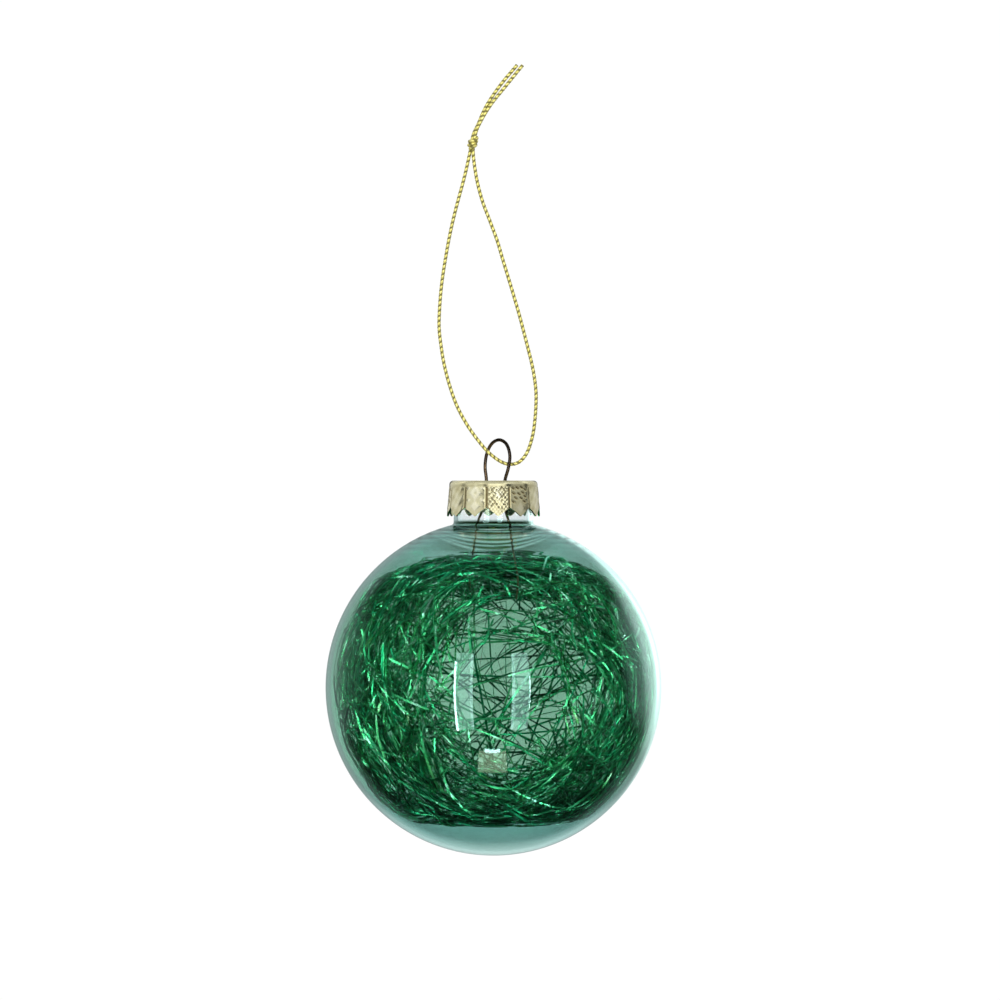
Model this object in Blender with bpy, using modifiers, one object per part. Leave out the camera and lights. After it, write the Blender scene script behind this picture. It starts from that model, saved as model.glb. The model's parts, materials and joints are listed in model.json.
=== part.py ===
"""Glass ball ornament: a clear tinted glass ball with a short neck, an embossed crown cap, a spring wire
hanger, a foil cord threaded through the hanger's eye, and loose tinsel strips inside the ball.

Metres, +Z up. The origin is the inside top of the hanger's eye, where a hook or a cord bears, and the
ball hangs below it. +X is to the right and -Y is the front.
"""

import math

import bmesh
import bpy
from mathutils import Vector

MM = 0.001
GAP = 0.3 * MM  # between pieces that touch or lie close on the real object

# Glass ball: a sphere with a short straight neck.
BALL_R = 40.0 * MM
WALL = 1.0 * MM
NECK_R = 9.5 * MM
NECK_BORE_R = NECK_R - WALL
NECK_HEIGHT = 48.4 * MM  # rim above the ball's centre
NECK_FILLET = 1.6 * MM
BALL_SEGMENTS = 40
BALL_ARC_STEPS = 15

# The eye sits a little off the ball's axis, in the plane of the hanger, as the springy wire rests.
EYE_ABOVE_CENTRE = 58.6 * MM
EYE_LEAN = 1.9 * MM
HANGER_YAW = math.radians(-40.0)

# Crown cap: a shallow cup of thin sheet with twelve pointed teeth.
CAP_SHEET = 0.45 * MM
CAP_TOP = NECK_HEIGHT + GAP + CAP_SHEET  # above the ball's centre
CAP_TOP_R = 10.4 * MM
CAP_RIM_R = 11.0 * MM
CAP_SHOULDER = 0.9 * MM
CAP_TEETH = 12
TOOTH_TIP = 40.8 * MM  # above the ball's centre
TOOTH_VALLEY = 42.6 * MM
TOOTH_TURN = math.radians(3.0)  # the front tooth points this far round from straight ahead
SLIT_WIDTH = 0.3 * MM
SLIT_TOP = 46.2 * MM
NOTCH_WIDTH = 0.94  # of the pitch, at the height of the tips
CAP_SEGMENTS = 48
WIRE_HOLE_R = 1.2 * MM
CUTTER_DEPTH = 4.0 * MM  # enough to pass through the sheet
CUTTER_OVERLAP = 0.4 * MM

# Hanger: one spring wire. Its route is in its own plane: along the plane from the eye, and up.
WIRE_D = 0.8 * MM
WIRE_STEP = 1.7 * MM
ROUTE_FINENESS = 24  # points that a smooth curve is worked out at between two of its route's points
HANGER_ROUTE = [
    (-8.9, -37.6), (-9.4, -33.0), (-8.9, -29.0), (-7.9, -24.5), (-6.9, -19.6), (-5.4, -16.0),
    (-4.4, -12.5), (-4.1, -9.2), (-4.5, -5.9), (-3.9, -2.7), (-2.3, -0.4), (0.0, 0.4),
    (2.2, -0.7), (3.2, -3.4), (2.7, -6.4), (1.7, -9.2), (1.4, -12.5), (1.8, -16.1),
    (2.9, -19.6), (4.0, -25.0), (5.0, -29.5), (5.7, -33.2), (5.2, -37.6),
]
LEFT_HOLE_AT = -4.1 * MM
RIGHT_HOLE_AT = 1.7 * MM

# Cord: one thread through the eye, both ends tied in one knot. Routes are (x, y, z).
CORD_D = 0.85 * MM
CORD_STEP = 2.3 * MM
CORD_LOOP_ROUTE = [
    (-7.2, 0.3, 69.1), (-8.4, 0.5, 62.9), (-10.4, 0.9, 55.5), (-11.8, 1.2, 49.5), (-12.9, 1.5, 43.5),
    (-13.8, 1.8, 37.5), (-14.3, 2.0, 31.6), (-14.4, 2.1, 27.0), (-13.9, 2.2, 22.5), (-13.2, 2.2, 18.4),
    (-12.0, 2.1, 13.7), (-10.2, 1.9, 8.6), (-7.8, 1.6, 4.1), (-5.2, 1.4, 0.4), (-2.7, 1.0, -2.5),
    (0.0, 0.2, -4.6), (2.3, -0.6, -5.4), (4.6, -0.8, -4.9), (6.5, -0.9, -2.7), (7.8, -1.1, 1.1),
    (8.4, -1.3, 5.0), (8.7, -1.5, 10.0), (8.5, -1.6, 13.6), (7.8, -1.7, 17.9), (6.5, -1.7, 23.2),
    (4.7, -1.6, 30.1), (2.8, -1.4, 36.6), (0.8, -1.2, 43.2), (-0.6, -1.0, 47.9), (-2.3, -0.8, 52.5),
    (-4.0, -0.6, 57.3), (-5.3, -0.4, 62.4), (-6.0, -0.3, 69.1),
]
KNOT_AT = (-6.4, 0.0, 71.1)
KNOT_SIZE = (2.5, 2.3, 2.7)
TAIL_ROUTES = {
    "cord_tail_left": [(-6.4, 0.3, 72.9), (-5.6, 0.5, 75.6), (-3.3, 0.5, 80.0), (0.2, 0.4, 84.9),
                       (4.2, 0.4, 89.7)],
    "cord_tail_right": [(-5.5, -0.4, 72.9), (-4.5, -0.6, 75.6), (-1.8, -0.5, 80.0), (1.7, -0.4, 84.9),
                        (5.5, -0.3, 89.6)],
}

# Tinsel: narrow strips laid like a wreath round the Y axis, each on a shell of its own inside the glass.
STRIP_WIDTH = 0.5 * MM
STRIP_THICKNESS = 0.14 * MM
STRIP_STEPS = 9
SHELL_RADII = [30.5 * MM, 31.9 * MM, 33.3 * MM, 34.7 * MM, 36.1 * MM, 37.5 * MM]
SIDES_OF_WREATH = 4
TINSEL_HALF_HEIGHT = 32.0 * MM
STRIP_SWING = math.radians(34.0)  # half of the longest strip's turn round the wreath
STRIP_SWING_STEP = math.radians(3.0)  # between one length of strip and the next
STRIP_LENGTHS = 4
HANGER_CLEARANCE = 13.0 * MM  # kept by the strips above and below the hollow
SIDE_CLEARANCE = 2.5 * MM
BOUNDARY_CLEARANCE = 0.8 * MM
STRIP_DRIFT = 5.5 * MM  # how far a strip moves forward or back along its length
STRIP_DRIFT_STEP = 1.3 * MM
STRIP_DRIFTS = 3

BALL_CENTRE = Vector((
    -EYE_LEAN * math.cos(HANGER_YAW),
    -EYE_LEAN * math.sin(HANGER_YAW),
    -EYE_ABOVE_CENTRE,
))


def clear_scene():
    for obj in list(bpy.data.objects):
        bpy.data.objects.remove(obj, do_unlink=True)


def new_collection(name, hidden=False):
    collection = bpy.data.collections.new(name)
    collection.hide_render = hidden
    bpy.context.scene.collection.children.link(collection)
    return collection


def principled(name, colour, roughness, metallic=0.0, transmission=0.0):
    material = bpy.data.materials.new(name)
    material.use_nodes = True
    shader = material.node_tree.nodes["Principled BSDF"]
    shader.inputs["Base Color"].default_value = (*colour, 1.0)
    shader.inputs["Roughness"].default_value = roughness
    shader.inputs["Metallic"].default_value = metallic
    shader.inputs["Transmission Weight"].default_value = transmission
    return material


def glass_material():
    return principled("tinted_glass", (0.62, 0.80, 0.75), 0.02, transmission=1.0)


def cap_material():
    return principled("gold_metal", (0.72, 0.64, 0.42), 0.28, metallic=1.0)


def wire_material():
    return principled("bronzed_wire", (0.09, 0.06, 0.045), 0.35, metallic=1.0)


def cord_material():
    return principled("gold_thread", (0.55, 0.47, 0.12), 0.4, metallic=0.6)


def tinsel_material():
    return principled("green_film", (0.01, 0.30, 0.09), 0.22, metallic=1.0)


def link_object(name, data, collection, material=None):
    obj = bpy.data.objects.new(name, data)
    collection.objects.link(obj)
    if material:
        data.materials.append(material)
    return obj


def turned(name, profile, segments, collection, material):
    """A solid of revolution about the ball's axis. The profile is (radius, height above the ball's
    centre), and runs down its outer side."""
    mesh = bpy.data.meshes.new(name)
    points = [(radius, 0.0, height) for radius, height in profile]
    edges = [(i, i + 1) for i in range(len(points) - 1)]
    mesh.from_pydata(points, edges, [])
    obj = link_object(name, mesh, collection, material)
    obj.location = BALL_CENTRE
    screw = obj.modifiers.new("Turn", "SCREW")
    screw.steps = segments
    screw.render_steps = segments
    screw.use_merge_vertices = True
    screw.merge_threshold = 0.00001
    screw.use_smooth_shade = True
    return obj


def arc(centre, radius, start, end, steps):
    """Points on an arc, with angles measured from the horizontal."""
    return [
        (
            centre[0] + radius * math.cos(start + (end - start) * i / steps),
            centre[1] + radius * math.sin(start + (end - start) * i / steps),
        )
        for i in range(steps + 1)
    ]


def ball_profile():
    """Up the inside from the bottom, over the rim of the neck, and down the outside."""
    quarter = math.pi / 2
    inner_r = BALL_R - WALL
    inner_end = math.acos(NECK_BORE_R / inner_r)
    lip = WALL / 2
    rim = arc((NECK_R - lip, NECK_HEIGHT - lip), lip, math.pi, 0.0, 4)
    # The fillet touches the neck's outside and the sphere: its centre is outside both.
    fillet_x = NECK_R + NECK_FILLET
    fillet_z = math.sqrt((BALL_R + NECK_FILLET) ** 2 - fillet_x**2)
    fillet_end = math.atan2(-fillet_z, -fillet_x)
    fillet = arc((fillet_x, fillet_z), NECK_FILLET, -math.pi, fillet_end, 3)
    outer_start = math.atan2(fillet_z, fillet_x)
    inside = arc((0.0, 0.0), inner_r, -quarter, inner_end, BALL_ARC_STEPS)
    outside = arc((0.0, 0.0), BALL_R, outer_start, -quarter, BALL_ARC_STEPS)
    inside[0] = (0.0, -inner_r)
    outside[-1] = (0.0, -BALL_R)
    return inside + rim + fillet + outside[1:]


def make_ball(collection, material):
    return turned("glass_ball", ball_profile(), BALL_SEGMENTS, collection, material)


def cap_profile():
    """Out along the top, over the shoulder, down the flared skirt, and back up the inside."""
    shoulder_x = CAP_TOP_R - CAP_SHOULDER
    shoulder = arc((shoulder_x, CAP_TOP - CAP_SHOULDER), CAP_SHOULDER, math.pi / 2, 0.0, 3)
    inner_shoulder = [
        (CAP_TOP_R - CAP_SHEET, CAP_TOP - CAP_SHOULDER),
        (shoulder_x, CAP_TOP - CAP_SHEET),
    ]
    rim = [(CAP_RIM_R, TOOTH_TIP), (CAP_RIM_R - CAP_SHEET, TOOTH_TIP)]
    return [(0.0, CAP_TOP)] + shoulder + rim + inner_shoulder + [(0.0, CAP_TOP - CAP_SHEET)]


def cutter(name, mesh, collection):
    obj = link_object(name, mesh, collection)
    obj.hide_render = True
    obj.display_type = "WIRE"
    return obj


def notch_mesh():
    """A triangular prism with its corner up, lying along +X across the skirt. Its corner is a valley
    between two teeth, and its base is lower than their tips."""
    bm = bmesh.new()
    bmesh.ops.create_cone(
        bm, cap_ends=True, segments=3, radius1=1.0, radius2=1.0, depth=CUTTER_DEPTH
    )
    corner = max(v.co.y for v in bm.verts)
    base = min(v.co.y for v in bm.verts)
    base_half = max(v.co.x for v in bm.verts)
    half_pitch = CAP_RIM_R * math.tan(math.pi / CAP_TEETH)
    height = (TOOTH_VALLEY - TOOTH_TIP) / NOTCH_WIDTH
    for v in bm.verts:
        across = v.co.x / base_half * half_pitch
        up = TOOTH_VALLEY - (corner - v.co.y) / (corner - base) * height
        v.co = Vector((CAP_TOP_R + v.co.z, across, up))
    bmesh.ops.recalc_face_normals(bm, faces=bm.faces)
    mesh = bpy.data.meshes.new("notch")
    bm.to_mesh(mesh)
    bm.free()
    return mesh


def slit_mesh():
    bm = bmesh.new()
    bmesh.ops.create_cube(bm, size=1.0)
    bottom = TOOTH_VALLEY - CUTTER_OVERLAP
    size = Vector((CUTTER_DEPTH, SLIT_WIDTH, SLIT_TOP - bottom))
    bmesh.ops.scale(bm, vec=size, verts=bm.verts)
    bmesh.ops.translate(bm, vec=(CAP_TOP_R, 0.0, (SLIT_TOP + bottom) / 2), verts=bm.verts)
    mesh = bpy.data.meshes.new("slit")
    bm.to_mesh(mesh)
    bm.free()
    return mesh


def hole_mesh():
    bm = bmesh.new()
    bmesh.ops.create_cone(
        bm, cap_ends=True, segments=16, radius1=WIRE_HOLE_R, radius2=WIRE_HOLE_R, depth=CUTTER_DEPTH
    )
    mesh = bpy.data.meshes.new("wire_hole")
    bm.to_mesh(mesh)
    bm.free()
    return mesh


def hanger_point(along, up, across=0.0):
    """A point of the hanger's plane, from the eye."""
    return Vector((
        along * math.cos(HANGER_YAW) - across * math.sin(HANGER_YAW),
        along * math.sin(HANGER_YAW) + across * math.cos(HANGER_YAW),
        up,
    ))


def make_cap(collection, cutters, material):
    cap = turned("crown_cap", cap_profile(), CAP_SEGMENTS, collection, material)
    notch, slit, hole = notch_mesh(), slit_mesh(), hole_mesh()
    for i in range(CAP_TEETH):
        # Valleys lie half a tooth away from the tips.
        turn = -math.pi / 2 + TOOTH_TURN + (i + 0.5) * 2 * math.pi / CAP_TEETH
        for name, mesh in (("notch", notch), ("slit", slit)):
            tool = cutter(f"{name}_{i + 1:02d}", mesh, cutters)
            tool.location = BALL_CENTRE
            tool.rotation_euler.z = turn
    for name, along in (("left", LEFT_HOLE_AT), ("right", RIGHT_HOLE_AT)):
        tool = cutter(f"wire_hole_{name}", hole, cutters)
        tool.location = hanger_point(along, BALL_CENTRE.z + CAP_TOP)
    cut = cap.modifiers.new("Cut", "BOOLEAN")
    cut.operation = "DIFFERENCE"
    cut.operand_type = "COLLECTION"
    cut.collection = cutters
    return cap


def smooth_route(points, step):
    """Evenly spaced points on a smooth curve through the route's own points."""
    fine = []
    ends = [2 * points[0] - points[1]] + points + [2 * points[-1] - points[-2]]
    for before, a, b, after in zip(ends, ends[1:], ends[2:], ends[3:]):
        for i in range(ROUTE_FINENESS):
            t = i / ROUTE_FINENESS
            fine.append(
                0.5 * (
                    2 * a
                    + (b - before) * t
                    + (2 * before - 5 * a + 4 * b - after) * t**2
                    + (3 * a - before - 3 * b + after) * t**3
                )
            )
    fine.append(points[-1])
    lengths = [0.0]
    for a, b in zip(fine, fine[1:]):
        lengths.append(lengths[-1] + (b - a).length)
    count = max(2, round(lengths[-1] / step))
    spaced, i = [], 0
    for k in range(count + 1):
        target = lengths[-1] * k / count
        while i < len(fine) - 2 and lengths[i + 1] < target:
            i += 1
        share = (target - lengths[i]) / (lengths[i + 1] - lengths[i])
        spaced.append(fine[i].lerp(fine[i + 1], share))
    return spaced


def poly_curve(name, points, collection, material):
    curve = bpy.data.curves.new(name, "CURVE")
    curve.dimensions = "3D"
    curve.use_fill_caps = True
    spline = curve.splines.new("POLY")
    spline.points.add(len(points) - 1)
    for slot, point in zip(spline.points, points):
        slot.co = (*point, 1.0)
    spline.use_smooth = True
    return link_object(name, curve, collection, material)


def tube(name, points, diameter, collection, material):
    obj = poly_curve(name, points, collection, material)
    obj.data.bevel_depth = diameter / 2
    obj.data.bevel_resolution = 2
    return obj


def make_hanger(collection, material):
    route = [hanger_point(along * MM, up * MM) for along, up in HANGER_ROUTE]
    return tube("hanger_wire", smooth_route(route, WIRE_STEP), WIRE_D, collection, material)


def make_cord(collection, material):
    loop = smooth_route([Vector(p) * MM for p in CORD_LOOP_ROUTE], CORD_STEP)
    tube("cord_loop", loop, CORD_D, collection, material)
    for name, route in TAIL_ROUTES.items():
        points = smooth_route([Vector(p) * MM for p in route], CORD_STEP)
        tube(name, points, CORD_D, collection, material)


def make_knot(collection, material):
    """The overhand knot's outer shape: a small lump a little longer than it is wide."""
    bm = bmesh.new()
    bmesh.ops.create_uvsphere(bm, u_segments=12, v_segments=8, radius=0.5)
    bmesh.ops.scale(bm, vec=Vector(KNOT_SIZE) * MM, verts=bm.verts)
    mesh = bpy.data.meshes.new("cord_knot")
    bm.to_mesh(mesh)
    bm.free()
    mesh.shade_smooth()
    knot = link_object("cord_knot", mesh, collection, material)
    knot.location = Vector(KNOT_AT) * MM
    return knot


def strip_section(guides):
    """The flat section that a strip is swept with."""
    section = bpy.data.curves.new("strip_section", "CURVE")
    section.dimensions = "2D"
    spline = section.splines.new("POLY")
    spline.points.add(3)
    half_w, half_t = STRIP_WIDTH / 2, STRIP_THICKNESS / 2
    corners = [(-half_w, -half_t), (-half_w, half_t), (half_w, half_t), (half_w, -half_t)]
    for slot, corner in zip(spline.points, corners):
        slot.co = (*corner, 0.0, 1.0)
    spline.use_cyclic_u = True
    obj = link_object("strip_section", section, guides)
    obj.hide_render = True
    obj.display_type = "WIRE"
    return obj


def strip_path(shell, side, front, radius):
    """An arc on one shell, on one side of the wreath and on its front or back half. Strips on one shell
    lie on different sides or halves, so no two of them meet."""
    upright = side % 2 == 1  # above or below the hollow, where the hanger is
    middle = side * math.pi / 2
    swing = STRIP_SWING - STRIP_SWING_STEP * ((shell * 5 + side * 3 + front * 2) % STRIP_LENGTHS)
    least = math.sqrt(max(0.0, radius**2 - TINSEL_HALF_HEIGHT**2)) if upright else 0.0
    near = max(least + BOUNDARY_CLEARANCE, HANGER_CLEARANCE if upright else SIDE_CLEARANCE)
    drift = STRIP_DRIFT + STRIP_DRIFT_STEP * ((shell * 2 + side) % STRIP_DRIFTS)
    outward = (shell + side + front) % 2 == 1
    points = []
    for i in range(STRIP_STEPS + 1):
        t = i / STRIP_STEPS
        angle = middle + swing * (2 * t - 1)
        depth = near + drift * (t if outward else 1 - t)
        ring = math.sqrt(radius**2 - depth**2)
        y = -depth if front else depth
        points.append(BALL_CENTRE + Vector((ring * math.cos(angle), y, ring * math.sin(angle))))
    return points


def make_tinsel(collection, guides, material):
    section = strip_section(guides)
    number = 0
    for shell, radius in enumerate(SHELL_RADII):
        for side in range(SIDES_OF_WREATH):
            for front in (0, 1):
                number += 1
                points = strip_path(shell, side, front, radius)
                strip = poly_curve(f"tinsel_strip_{number:02d}", points, collection, material)
                strip.data.bevel_mode = "OBJECT"
                strip.data.bevel_object = section


def main():
    clear_scene()
    parts = new_collection("glass_ball_ornament")
    cutters = new_collection("cutters", hidden=True)
    guides = new_collection("guides", hidden=True)
    cord = cord_material()
    make_ball(parts, glass_material())
    make_cap(parts, cutters, cap_material())
    make_hanger(parts, wire_material())
    make_cord(parts, cord)
    make_knot(parts, cord)
    make_tinsel(parts, guides, tinsel_material())


main()
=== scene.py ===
"""Looks of the glass ball ornament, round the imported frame. Metres, +Z up, -Y is the front.

The tinted glass, the embossed cap, the hanger, the foil cord and most of the tinsel are fine meshes made
here. The 48 tinsel strips of the frame stay and get the film's material.
"""

import json
import math

import bmesh
import bpy
import numpy as np
from mathutils import Matrix, Vector

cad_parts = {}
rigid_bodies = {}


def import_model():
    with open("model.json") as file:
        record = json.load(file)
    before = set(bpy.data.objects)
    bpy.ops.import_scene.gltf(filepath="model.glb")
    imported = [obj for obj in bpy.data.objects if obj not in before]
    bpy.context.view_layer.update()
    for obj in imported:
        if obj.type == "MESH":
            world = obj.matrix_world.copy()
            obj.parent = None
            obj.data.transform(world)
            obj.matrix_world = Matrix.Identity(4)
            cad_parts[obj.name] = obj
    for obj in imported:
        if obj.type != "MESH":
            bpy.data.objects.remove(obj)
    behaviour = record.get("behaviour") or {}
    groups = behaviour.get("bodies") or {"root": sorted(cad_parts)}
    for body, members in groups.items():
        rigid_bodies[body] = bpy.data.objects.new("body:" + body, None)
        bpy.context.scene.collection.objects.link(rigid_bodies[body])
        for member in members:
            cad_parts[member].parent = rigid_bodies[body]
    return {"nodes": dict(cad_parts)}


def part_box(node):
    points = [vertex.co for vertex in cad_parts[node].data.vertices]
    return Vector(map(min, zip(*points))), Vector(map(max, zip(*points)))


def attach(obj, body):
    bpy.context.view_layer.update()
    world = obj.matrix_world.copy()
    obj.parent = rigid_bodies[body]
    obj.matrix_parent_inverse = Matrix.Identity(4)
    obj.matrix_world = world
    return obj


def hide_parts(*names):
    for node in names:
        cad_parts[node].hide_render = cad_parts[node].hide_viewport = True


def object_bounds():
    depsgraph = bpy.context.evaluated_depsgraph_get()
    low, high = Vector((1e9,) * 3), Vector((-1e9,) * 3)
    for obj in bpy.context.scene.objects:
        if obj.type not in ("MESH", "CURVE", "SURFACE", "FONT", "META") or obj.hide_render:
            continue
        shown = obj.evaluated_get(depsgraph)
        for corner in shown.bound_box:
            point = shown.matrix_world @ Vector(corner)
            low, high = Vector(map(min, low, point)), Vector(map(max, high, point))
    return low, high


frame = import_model()
cad_low, cad_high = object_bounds()

MM = 0.001
SEED = 7

# Camera: level, from far in front. The offset is from the middle of the object's box.
FRAME_WIDTH = 238.1 * MM
CAMERA_DISTANCE = 2.0
CAMERA_OFFSET = Vector((1.56, 0.0, -9.6)) * MM
SENSOR = 36.0  # millimetres, as Blender's lens values are

# Glass ball. Heights here and below are above the ball's centre.
BALL_LOW, BALL_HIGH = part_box("glass_ball")
BALL_R = 40.0 * MM
WALL = 1.0 * MM
NECK_R = 9.5 * MM
NECK_HEIGHT = 48.4 * MM
NECK_FILLET = 0.7 * MM
NECK_BEAD = 0.03 * MM
BALL_CENTRE = Vector((
    (BALL_LOW.x + BALL_HIGH.x) / 2,
    (BALL_LOW.y + BALL_HIGH.y) / 2,
    BALL_HIGH.z - NECK_HEIGHT,
))
BALL_SEGMENTS = 160
RIPPLE_HEIGHT = 0.016 * MM
RIPPLE_PITCH = 2.5 * MM  # along the arc
RIPPLE_FROM, RIPPLE_TO = math.radians(15.0), math.radians(43.0)  # from the top

# Painted reflections of the rings below the neck: height, half-width, and how much darker than their
# painted dark zone. Below 0 is paler, a painted highlight.
PAINTED_RING_LINES = [
    (39.25, 0.24, 0.35), (38.70, 0.18, -1.8), (38.20, 0.20, 0.35), (37.78, 0.16, -1.8),
    (37.45, 0.14, 0.35), (37.20, 0.14, -1.6), (36.90, 0.20, 0.35), (36.40, 0.22, -0.4),
    (35.75, 0.22, -1.7), (35.30, 0.20, 0.35), (34.80, 0.22, -1.6), (34.25, 0.20, 0.35),
    (33.80, 0.18, -1.5), (33.40, 0.18, 0.3), (32.75, 0.22, -1.7), (32.20, 0.20, 0.2),
]
# The zone where the ring reflections are painted, as a dark band with pale lines: its heights, and its
# half-width to each side at the front.
RING_ZONE = (31.6 * MM, 39.6 * MM)
RING_ZONE_HALF = 13.0 * MM
RING_BOW = 0.42  # how fast the lower rings bend up towards their ends

# Cap: a crown of twelve embossed panels.
CAP_SHEET = 0.45 * MM
CAP_TOP = 49.3 * MM
CAP_TOP_R = 10.5 * MM
CAP_RIM_R = 11.12 * MM
CAP_SHOULDER = 0.9 * MM
CAP_FLAT_R = CAP_TOP_R - CAP_SHOULDER
CAP_PANELS = 12
TOOTH_TIP = 40.8 * MM
TOOTH_VALLEY = 43.0 * MM
TOOTH_TURN = math.radians(6.2)
PANEL_COLUMNS = 44
SKIRT_ROWS = 64
TOP_ROWS = 19
RELIEF = 0.27 * MM
CREASE_TOP = 1.6  # millimetres down from the cap's top
CREASE_WIDTHS = (0.12, 0.22, 0.26, 0.12)  # of each kind of panel's edges, in millimetres
# Dimples of one kind of panel: across from its middle, down from the top, in millimetres, and lean.
DIMPLES = [
    (-1.8, 1.9, 0.6), (-0.7, 1.8, 0.5), (0.6, 1.7, 0.4), (1.7, 2.2, 0.6),
    (-1.7, 3.1, 0.5), (-0.3, 3.2, 0.6), (0.9, 2.9, 0.5), (-1.2, 4.2, 0.6),
    (0.3, 4.2, 0.5), (1.6, 3.8, 0.6), (-1.9, 5.1, 0.5), (1.3, 5.0, 0.6),
]
# Punched dots of the filigree panels: across from the middle and down from the top, in millimetres.
FILIGREE_DOTS = [
    (0.9, 4.6), (1.8, 4.2), (1.7, 5.7), (0.1, 6.4), (1.0, 6.6), (2.1, 2.0),
    (-0.4, 2.3), (-0.3, 4.1), (-2.0, 3.2), (-2.0, 5.0), (-0.4, 5.6),
]
WIRE_HOLE_R = 1.1 * MM

# Hanger: its route is along its own plane from the eye, and up, in millimetres.
HANGER_YAW = math.radians(-40.0)
WIRE_D = 0.8 * MM
HANGER_ROUTE = [
    (-8.9, -37.6), (-9.4, -33.0), (-8.9, -29.0), (-7.9, -24.5), (-6.9, -19.6), (-5.4, -16.0),
    (-4.4, -12.5), (-4.1, -9.2), (-4.5, -5.9), (-3.9, -2.7), (-2.3, -0.4), (0.0, 0.4),
    (2.2, -0.7), (3.2, -3.4), (2.7, -6.4), (1.7, -9.2), (1.4, -12.5), (1.8, -16.1),
    (2.9, -19.6), (4.0, -25.0), (5.0, -29.5), (5.7, -33.2), (5.2, -37.6),
]
LEG_TOP_Z, LEG_END_Z, LEG_THINNING = -15.0 * MM, -20.0 * MM, 0.62
LEFT_HOLE_AT = -4.1 * MM
RIGHT_HOLE_AT = 1.95 * MM

TUBE_SIDES = 14  # of the wire and the cord

# Cord: two plies, one of gold foil and one of dark thread, twisted together.
CORD_D = 0.85 * MM
CORD_TWIST = 1.25 * MM
CORD_STEP = 0.12 * MM  # between the points of its path
CORD_LOOP_ROUTE = [
    (-7.0, 0.35, 69.1), (-8.4, 0.5, 62.9), (-10.4, 0.9, 55.5), (-11.8, 1.2, 49.5), (-12.9, 1.5, 43.5),
    (-13.8, 1.8, 37.5), (-14.3, 2.0, 31.6), (-14.4, 2.1, 27.0), (-13.9, 2.2, 22.5), (-13.2, 2.2, 18.4),
    (-12.0, 2.1, 13.7), (-10.2, 1.9, 8.6), (-7.8, 1.6, 4.1), (-5.2, 1.4, 0.4), (-2.7, 1.0, -2.5),
    (0.0, 0.2, -4.6), (2.3, -0.6, -5.4), (4.6, -0.8, -4.9), (6.5, -0.9, -2.7), (7.8, -1.1, 1.1),
    (8.4, -1.3, 5.0), (8.7, -1.5, 10.0), (8.5, -1.6, 13.6), (7.8, -1.7, 17.9), (6.5, -1.7, 23.2),
    (4.7, -1.6, 30.1), (2.8, -1.4, 36.6), (0.8, -1.2, 43.2), (-0.6, -1.0, 47.9), (-2.3, -0.8, 52.5),
    (-4.1, -0.6, 57.3), (-5.5, -0.4, 62.8), (-6.3, -0.35, 69.1),
]
KNOT_AT = Vector((-6.4, 0.0, 71.1)) * MM
LEFT_TAIL_ROUTE = [
    (-6.3, 0.35, 72.9), (-5.1, 0.5, 75.6), (-3.1, 0.5, 80.0), (0.2, 0.4, 84.9), (4.2, 0.4, 89.7),
]
RIGHT_TAIL_ROUTE = [
    (-5.8, -0.4, 72.9), (-4.8, -0.6, 75.6), (-2.2, -0.5, 80.0), (1.7, -0.4, 84.9), (5.5, -0.3, 89.6),
]

# Tinsel: a wreath round an axis along Y, with a hollow in it.
HOLLOW_AT = (4.4 * MM, 0.2 * MM)  # x and height of the hollow's axis
HOLLOW_R = 19.2 * MM
TINSEL_R = 38.2 * MM
WREATH_FROM, WREATH_TO = 18.5, 42.0  # where clumps start, in millimetres from the hollow's axis
CLUMP_SPREAD = 1.5  # millimetres
TINSEL_TOP, TINSEL_BOTTOM = 33.6 * MM, -33.2 * MM
TOP_DOME, BOTTOM_DOME, DOME_R = 6.0 * MM, 2.2 * MM, 25 * MM  # how far the edges fall back, and where
EDGE_DEPTH = 3.2  # most millimetres that a strand keeps inside TINSEL_R
TOP_SPREAD = 1.9  # millimetres
BOTTOM_RISE, BOTTOM_SPREAD = 1.6, 1.4  # millimetres
FILM_THICKNESS = 0.04 * MM
TIP_WIDTH = 0.55  # of the width of the strand
PAINTED_GLINT_SHARE = 0.17  # of the points along the strands, painted near-white as glints
# Tone ranges of strands painted as lit and as shaded; within each range the tone differs at random.
PAINTED_LIT_TONES, PAINTED_SHADED_TONES = (0.5, 0.88), (0.0, 0.34)
# The slab that the hanger's legs slide in, along its plane from the eye, and where its long leg is seen.
SLAB_FROM, SLAB_TO, SLAB_LOW, SLAB_HALF = -12 * MM, 8.5 * MM, 17.5 * MM, 1.1 * MM
LEG_X, LEG_HALF, LEG_LOW, LEG_FRONT = 5.4 * MM, 1.2 * MM, 19.0 * MM, -4.0 * MM
# Pinched bundles: middle in millimetres, strands and their length.
BUNDLES = [((14.9, 8.0, 11.8), 34, 15.0), ((3.9, 19.0, -3.4), 20, 14.0), ((0.6, 4.0, -24.0), 30, 11.0)]

# Studio. Azimuth 0 is the front and it grows towards +X, and elevation is above the level, in degrees.
WHITE = (1.0, 1.0, 1.0)
BACKDROP = 1.02
# Glows that reflections see: azimuth, elevation, degrees from middle to edge, and radiance.
GLOWS = [
    (180, 0, 60, 0.4), (166, 5, 18, 1.0), (146, 7, 24, 1.4), (124, 8, 26, 0.7),
    (-145, 5, 30, 0.12), (-122, 5, 26, 0.2), (180, -28, 24, 0.5), (180, 62, 26, 0.25),
]
GLOW_COLOUR = (0.80, 1.0, 0.98)
DIM_STUDIO = 0.015  # what reflections see between the glows
TURNS = 1.5  # at the world a ray seen straight through counts 1, and one that reflected once counts 2
SPARKLES = [(30, 30), (-40, 20), (-12, -30), (75, -10), (-20, 62), (-80, -8), (160, 35), (35, -35)]
SPARKLE_LIGHT = (0.08, 0.08, 430.0)  # width, height and radiance
FLOOR_Z, FLOOR_HALF = -0.25, 1.5


# ---- meshes

def new_object(name, data):
    thing = bpy.data.objects.new(name, data)
    bpy.context.scene.collection.objects.link(thing)
    return thing


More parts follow.
